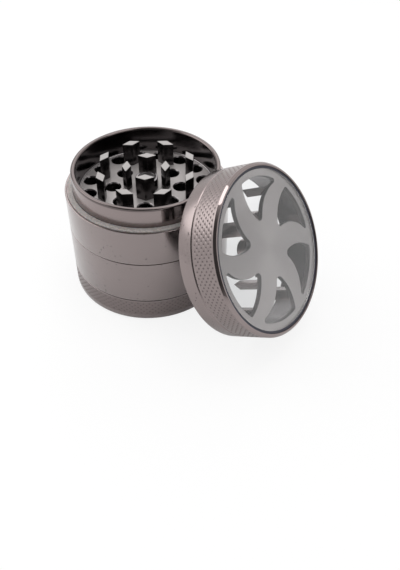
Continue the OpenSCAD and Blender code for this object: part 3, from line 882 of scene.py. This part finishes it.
def build_storage(sizes):
    """The middle section: a socket below, a shelf for the sieve and a threaded collar above."""
    plan = plan_of(sizes)
    plated, thread, shaded_recess = range(3)
    shelf_z = SEAM_LOW + plan.socket_h
    shelf_r = plan.bore_r - sizes.shelf_wide
    thread_low, thread_high = SEAM_HIGH + THREAD_BORDER, STORAGE_TOP - THREAD_BORDER
    shape = Shape()
    shape.lathe([
        (plan.socket_r, shelf_z - THREAD_BORDER, 0, plated), (plan.socket_r, shelf_z, EDGE, plated),
        (shelf_r, shelf_z, EDGE, plated), (shelf_r, SIEVE_Z, EDGE, plated),
        (plan.bore_r, SIEVE_Z, 0, shaded_recess), (plan.bore_r, STORAGE_TOP, COLLAR_ROUND_IN, plated),
        (plan.collar_r, STORAGE_TOP, COLLAR_ROUND_OUT, plated),
        (plan.collar_r, thread_high, 0, plated)], ROUND)
    shape.thread(
        plan.collar_r, thread_low, thread_high, sizes.thread_pitch, sizes.thread_deep, ROUND, thread)
    shape.lathe([
        (plan.collar_r, thread_low, 0, plated), (plan.collar_r, SEAM_HIGH, EDGE, plated),
        (BODY_R - sizes.seam, SEAM_HIGH, EDGE, plated), (BODY_R, SEAM_HIGH - sizes.seam, EDGE, plated),
        *socket_corners(plan, sizes, SEAM_LOW, plated, shaded_recess)], ROUND)
    shape.thread(
        plan.socket_r, SEAM_LOW + THREAD_BORDER, shelf_z - THREAD_BORDER, sizes.thread_pitch,
        -sizes.thread_deep, ROUND, thread)
    storage = shape.piece(
        "storage_shell", UPRIGHT, materials("gunmetal_turned", "thread", "shaded_recess"),
        "storage_chamber")
    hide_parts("storage_chamber")


def build_chamber(sizes):
    """The grinding chamber: its drilled floor, its smooth collar and the socket below."""
    plan = plan_of(sizes)
    plated, shaded_recess, drilled, thread, lip, collar = range(6)
    ceiling = SEAM_HIGH + plan.socket_h
    under = plan.floor_z - sizes.floor_thick
    join = plan.bore_r - sizes.floor_fillet - FLOOR_BORDER
    glide_out = BODY_R - sizes.glide_rim
    shape = Shape()
    shape.lathe([
        (join, plan.floor_z, 0, drilled), (plan.bore_r, plan.floor_z, sizes.floor_fillet, shaded_recess),
        (plan.bore_r, LIP_Z, sizes.lip, lip), (plan.collar_r, LIP_Z, sizes.lip, lip),
        (plan.collar_r, LIP_Z - sizes.lip_band, 0, collar), (plan.collar_r, GLIDE_LOW, 0, plated),
        (glide_out, GLIDE_LOW, 0, plated), (glide_out, plan.ledge_z, EDGE, plated),
        (BODY_R - sizes.seam, plan.ledge_z, EDGE, plated),
        (BODY_R, plan.ledge_z - sizes.seam, EDGE, plated),
        *socket_corners(plan, sizes, SEAM_HIGH, plated, thread)], ROUND)
    shape.thread(
        plan.socket_r, SEAM_HIGH + THREAD_BORDER, ceiling - THREAD_BORDER, sizes.thread_pitch,
        -sizes.thread_deep, ROUND, thread)
    shape.lathe([
        (plan.socket_r, ceiling - THREAD_BORDER, 0, plated), (plan.socket_r, ceiling, EDGE, plated),
        (plan.bore_r, ceiling, EDGE, plated), (plan.bore_r, under, EDGE, plated),
        (join, under, 0, plated)], ROUND)
    holes = []
    for r, number, start in floor_holes(plan, sizes):
        for i in range(number):
            holes.append(hole_rings(r, start + i * TURN / number, plan.floor_z, under, sizes))
    shape.plate(
        [circle(join, plan.floor_z, ROUND), circle(join, under, ROUND)], holes, drilled, plated, shaded_recess)
    chamber = shape.piece(
        "chamber_shell", UPRIGHT,
        materials("gunmetal_turned", "shaded_recess", "drilled_floor", "thread", "lip", "collar"),
        "grinding_chamber")
    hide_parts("grinding_chamber")


def floor_holes(plan, sizes):
    """Each ring of floor holes: its radius, how many, and the angle of the first."""
    return (
        (plan.hole_out, sizes.outer_holes, CHAMBER_TURN + TURN / (2 * sizes.outer_holes)),
        (plan.hole_in, sizes.inner_holes, CHAMBER_TURN),
    )


def hole_rings(r, angle, top, bottom, sizes):
    """The rings of one drilled hole, from its chamfered mouth to its far edge."""
    at = Vector((r * math.cos(angle), r * math.sin(angle), 0))
    wide, cut = sizes.hole_wide / 2, sizes.hole_chamfer
    steps = [(wide + out * cut, top - down * cut) for out, down in HOLE_MOUTH]
    steps.append((wide, bottom))
    return [[p + at for p in circle(radius, z, ROUND_HOLE)] for radius, z in steps]


def diamond(sizes, shrink):
    """The outline of a tooth, its four corners slightly rounded."""
    arc_steps = 3
    half_w, half_l = sizes.tooth_wide / 2, sizes.tooth_long / 2
    corners = [Vector((half_w, 0)), Vector((0, half_l)), Vector((-half_w, 0)), Vector((0, -half_l))]
    outline = []
    for i, here in enumerate(corners):
        before, after = corners[i - 1] - here, corners[(i + 1) % 4] - here
        half = before.angle(after) / 2
        inward = (before.normalized() + after.normalized()).normalized()
        middle = here + inward * (sizes.tooth_edge / math.sin(half))
        first = -math.pi / 2 + half
        for k in range(arc_steps + 1):
            a = first + (math.pi - 2 * half) * k / arc_steps
            out = Matrix.Rotation(a, 2) @ (-inward)
            outline.append(middle + out * (sizes.tooth_edge - shrink))
    return outline


def add_tooth(shape, sizes, r, angle, root, tip):
    """A diamond tooth from its root to its tip: either may be the higher."""
    side, top = range(2)
    edge = sizes.tooth_edge * math.copysign(1, tip - root)
    levels = [(0.0, root)]
    levels += [(inward * sizes.tooth_edge, tip - below * edge) for inward, below in TOOTH_TIP]
    turn = Matrix.Rotation(angle, 4, "Z")
    rings = []
    for shrink, z in levels:
        rings.append([turn @ Vector((p.x + r, p.y, z)) for p in diamond(sizes, shrink)])
    shape.skin(rings, [side, top, top])
    shape.cap(rings[-1], top)
    shape.cap(rings[0], side)


def add_post(shape, sizes, root, tip, way):
    """A round post with a magnet's pocket in its tip. way is 1 where the tip is the higher end."""
    side, top = range(2)
    wide, pocket = sizes.post_wide / 2, sizes.magnet_wide / 2 + sizes.magnet_gap
    bottom = tip - way * sizes.magnet_thick
    shape.lathe([
        (wide, root, 0, side), (wide, tip, POST_ROUND, top), (pocket, tip, POCKET_ROUND, top),
        (pocket, bottom, 0, side)], ROUND_POST)
    shape.cap(circle(wide, root, ROUND_POST), side)
    shape.cap(circle(pocket, bottom, ROUND_POST), side)


def build_chamber_teeth(sizes):
    """The chamber's two rings of teeth, and the post for its magnet."""
    plan = plan_of(sizes)
    shape = Shape()
    root, tip = plan.floor_z - ROOT, LIP_Z - sizes.tooth_drop
    outer_step, inner_step = TURN / sizes.outer_teeth, TURN / sizes.inner_teeth
    for i in range(sizes.outer_teeth):
        add_tooth(shape, sizes, plan.tooth_out, CHAMBER_TURN + (i + 0.5) * outer_step, root, tip)
    for i in range(sizes.inner_teeth):
        add_tooth(shape, sizes, plan.tooth_in, CHAMBER_TURN + i * inner_step, root, tip)
    shape.piece(
        "chamber_teeth", UPRIGHT, materials("shaded_tooth_side", "tooth_top"), "grinding_chamber")
    post = Shape()
    add_post(post, sizes, root, POST_TOP, 1)
    post.piece("chamber_post", UPRIGHT, materials("shaded_recess", "shaded_recess"), "grinding_chamber")


def meet(a, ra, b, rb, side):
    """Where two circles cross, on the given side of the line from a to b."""
    gap = b - a
    d = gap.length
    u = gap / d
    x = (d * d + ra * ra - rb * rb) / (2 * d)
    return a + x * u + side * math.sqrt(ra * ra - x * x) * Vector((-u.y, u.x))


def arc_points(centre, start, end, step):
    """Points along the short arc about a centre, without its last one."""
    least_points = 3
    arm = start - centre
    swing = swing_between(arm, end - centre)
    number = max(least_points, round(abs(swing) * arm.length / step))
    return [centre + Matrix.Rotation(swing * k / number, 2) @ arm for k in range(number)]


def window_outline(reach, radius, tip):
    """A window between two blades: the rim's arc, a hooked inner side and a long outer side."""
    rim, r_rim = Vector((0.0, 0.0)), reach
    out, r_out = reach * OUTER_ARC_AT, reach * OUTER_ARC
    hook, r_hook = reach * HOOK_ARC_AT, reach * HOOK_ARC
    ends = {
        "out": meet(rim, r_rim - radius, out, r_out - radius, 1),
        "hook": meet(rim, r_rim - radius, hook, r_hook + radius, 1),
        "tip": meet(out, r_out - tip, hook, r_hook + tip, -1),
    }

    def touch(centre, r, end):
        """Where a rounded end meets the arc about a centre."""
        return centre + r * (ends[end] - centre).normalized()

    stops = [
        (rim, touch(rim, r_rim, "out"), touch(rim, r_rim, "hook")),
        (ends["hook"], touch(rim, r_rim, "hook"), touch(hook, r_hook, "hook")),
        (hook, touch(hook, r_hook, "hook"), touch(hook, r_hook, "tip")),
        (ends["tip"], touch(hook, r_hook, "tip"), touch(out, r_out, "tip")),
        (out, touch(out, r_out, "tip"), touch(out, r_out, "out")),
        (ends["out"], touch(out, r_out, "out"), touch(rim, r_rim, "out")),
    ]
    points = []
    for centre, start, end in stops:
        step = FINE_STEP if (start - centre).length < 2 * tip else PLAIN_STEP
        points.extend(arc_points(centre, start, end, step))
    return points


def grown(outline, by):
    """An outline moved outwards along its own normals."""
    moved = []
    area = sum(p.x * outline[i - 1].y - p.y * outline[i - 1].x for i, p in enumerate(outline))
    for i, p in enumerate(outline):
        along = outline[(i + 1) % len(outline)] - outline[i - 1]
        out = Vector((-along.y, along.x)).normalized() * math.copysign(by, area)
        moved.append(p + out)
    return moved


def window_rings(sizes, plan, turn):
    """The rings of one window, with a broken edge at both faces of the plate."""
    outline = window_outline(plan.reach, sizes.window_round, sizes.window_tip)
    top, low = plan.plate_top, sizes.lid_depth
    part = 0.3 * EDGE
    levels = ((EDGE, top), (part, top - part), (0.0, top - EDGE), (0.0, low + EDGE), (EDGE, low))
    spin = Matrix.Rotation(turn, 4, "Z")
    return [[spin @ Vector((p.x, p.y, z)) for p in grown(outline, by)] for by, z in levels]


def build_lid(sizes):
    """The lid: its dimpled skirt with a groove, its bezel and the plate of curved blades."""
    plan = plan_of(sizes)
    plated, grip, dimple, shaded_recess, bezel, plate, shaded_blade_edge = range(7)
    count = sizes.dimples_round * CELL_EDGE
    join = plan.reach + PLATE_BORDER
    slope_low = plan.lid_h - sizes.bezel_slope
    groove_low, groove_high = sizes.groove_z - sizes.groove_deep, sizes.groove_z + sizes.groove_deep
    grip_low, grip_high = groove_high + GRIP_BORDER, slope_low - BEZEL_BORDER
    shape = Shape()
    shape.lathe([
        (join, plan.plate_top, 0, plate), (plan.seat_r, plan.plate_top, 0, bezel),
        (plan.seat_r, plan.lid_h - sizes.bezel_dish, LID_EDGE, bezel),
        (BODY_R - sizes.bezel_slope, plan.lid_h, BEZEL_ROUND, bezel),
        (BODY_R, slope_low, LID_EDGE, plated), (BODY_R, grip_high, 0, plated)], count)
    shape.dimples(BODY_R, grip_low, grip_high, sizes, grip, dimple)
    shape.lathe([
        (BODY_R, grip_low, 0, plated), (BODY_R, groove_high, LID_EDGE, plated),
        (BODY_R - sizes.groove_deep, sizes.groove_z, GROOVE_ROUND, plated),
        (BODY_R, groove_low, LID_EDGE, plated), (BODY_R, sizes.seam, LID_EDGE, plated),
        (BODY_R - sizes.seam, 0, LID_EDGE, plated), (plan.socket_r + sizes.mouth, 0, LID_EDGE, plated),
        (plan.socket_r, sizes.mouth, LID_EDGE, shaded_recess),
        (plan.socket_r, sizes.lid_depth, LID_FILLET, shaded_recess), (join, sizes.lid_depth, 0, shaded_recess)], count)
    blade_step = TURN / sizes.blades
    windows = [window_rings(sizes, plan, FACE_TURN + i * blade_step) for i in range(sizes.blades)]
    rims = [circle(join, z, count) for z in (plan.plate_top, sizes.lid_depth)]
    shape.plate(rims, windows, plate, shaded_recess, shaded_blade_edge)
    lid = shape.piece(
        "lid_shell", LEANING,
        materials("gunmetal", "grip", "dimple", "shaded_recess", "bezel", "blade_plate", "shaded_blade_edge"),
        "lid")
    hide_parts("lid")


def build_lid_teeth(sizes):
    """The lid's two rings of teeth, which sweep outside and between the chamber's, and its post."""
    plan = plan_of(sizes)
    shape = Shape()
    root, tip = sizes.lid_depth + ROOT, sizes.lid_tooth_drop
    inner = (plan.tooth_out + plan.tooth_in) / 2
    outer = plan.bore_r - sizes.lid_tooth_inset
    for i in range(sizes.blades):
        step = FACE_TURN + i * TURN / sizes.blades
        add_tooth(shape, sizes, outer, step + LID_OUTER_TURN, root, tip)
        add_tooth(shape, sizes, inner, step + LID_INNER_TURN, root, tip)
    shape.piece("lid_teeth", LEANING, materials("gunmetal", "tooth_top"), "lid")
    post = Shape()
    magnet_middle = (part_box("lid_magnet")[0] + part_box("lid_magnet")[1]) / 2
    low = (magnet_middle - LID_AT).dot(LID_AXIS) - sizes.magnet_thick / 2
    add_post(post, sizes, root, low, -1)
    post.piece("lid_post", LEANING, materials("gunmetal", "tooth_top"), "lid")


def build_window(sizes):
    """The clear disc, with a hair of air between it and the blades."""
    plan = plan_of(sizes)
    top, low = plan.plate_top + sizes.clear_thick, plan.plate_top + sizes.clear_air
    outer = plan.seat_r - sizes.gasket - sizes.clear_gap
    flat = outer - CLEAR_BORDER
    shape = Shape()
    shape.disc(flat, top, ROUND, 0)
    shape.lathe([
        (flat, top, 0, 0), (outer, top, DISC_ROUND_TOP, 0), (outer, low, DISC_ROUND_LOW, 0),
        (flat, low, 0, 0)], ROUND)
    shape.disc(flat, low, ROUND, 0)
    clear = shape.piece("clear_disc", LEANING, materials("acrylic"), "lid")
    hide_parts("lid_window")


def dress_small_parts():
    """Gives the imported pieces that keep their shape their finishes."""
    finishes = {
        "glide_ring": "nylon",
        "sieve": "steel_cloth",
        "sieve_ring": "steel_ring",
        "chamber_magnet": "shaded_magnet",
        "lid_magnet": "magnet",
        "lid_gasket": "gasket",
    }
    for node, name in finishes.items():
        mesh = frame["nodes"][node].data
        mesh.materials.clear()
        mesh.materials.append(material(name))


# ---------------------------------------------------------------- stage


def add_camera():
    """The camera. A shift of its frame keeps the object in the upper half."""
    data = bpy.data.cameras.new("camera")
    data.sensor_fit = "HORIZONTAL"
    data.sensor_width = CAMERA_SENSOR
    data.lens = CAMERA_LENS
    data.shift_x, data.shift_y = CAMERA_SHIFT
    data.clip_start, data.clip_end = CAMERA_NEAR, CAMERA_FAR
    camera = bpy.data.objects.new("camera", data)
    camera.matrix_world = (
        Matrix.Translation(CAMERA_AT) @ Matrix.Rotation(CAMERA_HEADING, 4, "Z")
        @ Matrix.Rotation(math.pi / 2 - CAMERA_PITCH, 4, "X") @ Matrix.Rotation(CAMERA_ROLL, 4, "Z"))
    bpy.context.scene.collection.objects.link(camera)
    bpy.context.scene.camera = camera


def from_middle(left, back, up):
    """A place beside the middle of the object, in metres to the left, to the back and up."""
    to_left = Vector((-math.cos(CAMERA_HEADING), -math.sin(CAMERA_HEADING), 0))
    to_back = Vector((-math.sin(CAMERA_HEADING), math.cos(CAMERA_HEADING), 0))
    return STAGE_MIDDLE + left * to_left + back * to_back + up * Vector((0, 0, 1))


def add_lamp(name, left, back, up, wide, watts, aim_left=0.0):
    """A soft round lamp, aimed at the middle of the object or a little to its left."""
    at, target = from_middle(left, back, up), from_middle(aim_left, 0, 0)
    data = bpy.data.lights.new(name, "AREA")
    data.shape = "DISK"
    data.size = wide
    data.energy = watts
    lamp = bpy.data.objects.new(name, data)
    lamp.location = at
    lamp.rotation_euler = (target - at).to_track_quat("-Z", "Y").to_euler()
    bpy.context.scene.collection.objects.link(lamp)


def add_world():
    """A plain pale room: white where it is seen or mirrored, softer as a light.

    Mirrored, it has one darker side and a small dark panel, as a studio has beside its lamps.
    """
    room = Finish("room", "worlds")
    bpy.context.scene.world = room.owner
    seen, mirrored = room.ray("Is Camera Ray"), room.ray("Is Glossy Ray")
    through = room.ray("Is Transmission Ray")
    way = room.node("ShaderNodeTexCoord", output="Generated")
    side = smooth_step(room.dot(way, DARK_SIDE), DARK_SIDE_FROM, DARK_SIDE_FULL, ROOM_DIMMED)
    panel = smooth_step(room.dot(way, DARK_PANEL), DARK_PANEL_FROM, DARK_PANEL_FULL, ROOM_DIMMED)
    strength = seen.larger(through).larger(mirrored * (1.0 - side.larger(panel)))
    strength = strength.larger(ROOM_LIGHT * (1.0 - mirrored))
    background = room.node(
        "ShaderNodeBackground", {}, {"Color": WHITE, "Strength": strength})
    room.node("ShaderNodeOutputWorld", {}, {"Surface": background})


def add_floor():
    """A pale floor. Where it is seen or mirrored it is lifted towards white, and keeps its shadow."""
    mottle_per_metre, mottle_share = 25, 0.05
    colours = bpy.context.scene.grinder_colours
    finish = Finish("floor")
    mottle = finish.noise(mottle_per_metre) * mottle_share
    base = finish.blend(mottle, rgba(colours.ground), rgba(colours.mottle))
    matt = finish.surface(Base_Color=base, Roughness=0.7)
    lift = finish.node("ShaderNodeEmission", {}, {"Color": WHITE, "Strength": 1.0})
    mirrored = FLOOR_LIFT_MIRRORED * finish.ray("Is Glossy Ray")
    through = FLOOR_LIFT_THROUGH * finish.ray("Is Transmission Ray")
    share = FLOOR_LIFT * finish.ray("Is Camera Ray").larger(mirrored).larger(through)
    mesh = bpy.data.meshes.new("floor")
    corners = [(x * FLOOR_HALF, y * FLOOR_HALF, 0.0) for x, y in ((-1, -1), (1, -1), (1, 1), (-1, 1))]
    mesh.from_pydata(corners, [], [(0, 1, 2, 3)])
    mesh.materials.append(finish.done(finish.node("ShaderNodeMixShader", {}, {0: share, 1: matt, 2: lift})))
    floor = bpy.data.objects.new("floor", mesh)
    bpy.context.scene.collection.objects.link(floor)


def build_stage():
    """The camera, the room, the floor and four soft lamps."""
    bpy.context.scene.view_settings.view_transform = "Standard"
    add_camera()
    add_world()
    add_floor()
    add_lamp("key", left=0.42, back=0.14, up=0.36, wide=0.5, watts=1.25, aim_left=0.08)
    add_lamp("fill", left=-0.4, back=-0.35, up=0.55, wide=0.5, watts=0.6)
    add_lamp("top", left=-0.12327, back=0.09902, up=0.6, wide=0.26, watts=0.5)
    add_lamp("rim", left=0.0, back=0.6, up=0.5, wide=0.5, watts=0.75)


# ---------------------------------------------------------------- operators


class GRINDER_OT_tray(bpy.types.Operator):
    """Builds the tray with its dimpled grip and threaded collar"""

    bl_idname = "mesh.grinder_tray"
    bl_label = "Tray"
    bl_options = {"REGISTER", "UNDO"}

    def execute(self, context):
        build_tray(context.scene.grinder_sizes)
        return {"FINISHED"}


class GRINDER_OT_storage(bpy.types.Operator):
    """Builds the storage chamber above the tray"""

    bl_idname = "mesh.grinder_storage"
    bl_label = "Storage chamber"
    bl_options = {"REGISTER", "UNDO"}

    def execute(self, context):
        build_storage(context.scene.grinder_sizes)
        return {"FINISHED"}


class GRINDER_OT_chamber(bpy.types.Operator):
    """Builds the grinding chamber with its drilled floor and smooth collar"""

    bl_idname = "mesh.grinder_chamber"
    bl_label = "Grinding chamber"
    bl_options = {"REGISTER", "UNDO"}

    def execute(self, context):
        build_chamber(context.scene.grinder_sizes)
        return {"FINISHED"}


class GRINDER_OT_chamber_teeth(bpy.types.Operator):
    """Builds the diamond teeth and the magnet post of the chamber"""

    bl_idname = "mesh.grinder_chamber_teeth"
    bl_label = "Chamber teeth"
    bl_options = {"REGISTER", "UNDO"}

    def execute(self, context):
        build_chamber_teeth(context.scene.grinder_sizes)
        return {"FINISHED"}


class GRINDER_OT_lid(bpy.types.Operator):
    """Builds the lid with its dimpled grip, bezel and curved blades"""

    bl_idname = "mesh.grinder_lid"
    bl_label = "Lid"
    bl_options = {"REGISTER", "UNDO"}

    def execute(self, context):
        build_lid(context.scene.grinder_sizes)
        return {"FINISHED"}


class GRINDER_OT_lid_teeth(bpy.types.Operator):
    """Builds the teeth and the magnet post inside the lid"""

    bl_idname = "mesh.grinder_lid_teeth"
    bl_label = "Lid teeth"
    bl_options = {"REGISTER", "UNDO"}

    def execute(self, context):
        build_lid_teeth(context.scene.grinder_sizes)
        return {"FINISHED"}


class GRINDER_OT_window(bpy.types.Operator):
    """Builds the clear disc over the blades"""

    bl_idname = "mesh.grinder_window"
    bl_label = "Window"
    bl_options = {"REGISTER", "UNDO"}

    def execute(self, context):
        build_window(context.scene.grinder_sizes)
        return {"FINISHED"}


class GRINDER_OT_small_parts(bpy.types.Operator):
    """Gives the glide ring, sieve, magnets and gasket their finishes"""

    bl_idname = "mesh.grinder_small_parts"
    bl_label = "Small parts"
    bl_options = {"REGISTER", "UNDO"}

    def execute(self, _context):
        dress_small_parts()
        return {"FINISHED"}


class GRINDER_OT_stage(bpy.types.Operator):
    """Builds the floor, the lamps, the room and the camera"""

    bl_idname = "scene.grinder_stage"
    bl_label = "Stage"
    bl_options = {"REGISTER", "UNDO"}

    def execute(self, _context):
        build_stage()
        return {"FINISHED"}


STEPS = (
    GRINDER_OT_tray,
    GRINDER_OT_storage,
    GRINDER_OT_chamber,
    GRINDER_OT_chamber_teeth,
    GRINDER_OT_lid,
    GRINDER_OT_lid_teeth,
    GRINDER_OT_window,
    GRINDER_OT_small_parts,
    GRINDER_OT_stage,
)


class GRINDER_PT_sidebar(bpy.types.Panel):
    """Lists the steps that build the grinder"""

    bl_label = "Herb Grinder"
    bl_idname = "GRINDER_PT_sidebar"
    bl_space_type = "VIEW_3D"
    bl_region_type = "UI"
    bl_category = "Grinder"

    def draw(self, _context):
        for step in STEPS:
            self.layout.operator(step.bl_idname)


CLASSES = (GrinderSizes, GrinderColours, *STEPS, GRINDER_PT_sidebar)


def register():
    """Adds the sizes, the colours, the steps and the sidebar."""
    for cls in CLASSES:
        bpy.utils.register_class(cls)
    bpy.types.Scene.grinder_sizes = PointerProperty(type=GrinderSizes)
    bpy.types.Scene.grinder_colours = PointerProperty(type=GrinderColours)


def unregister():
    """Takes away what register adds."""
    del bpy.types.Scene.grinder_colours
    del bpy.types.Scene.grinder_sizes
    for cls in reversed(CLASSES):
        bpy.utils.unregister_class(cls)


def main():
    """Builds the grinder and its stage."""
    register()
    for step in STEPS:
        family, name = step.bl_idname.split(".")
        getattr(getattr(bpy.ops, family), name)()


if __name__ == "__main__":
    main()
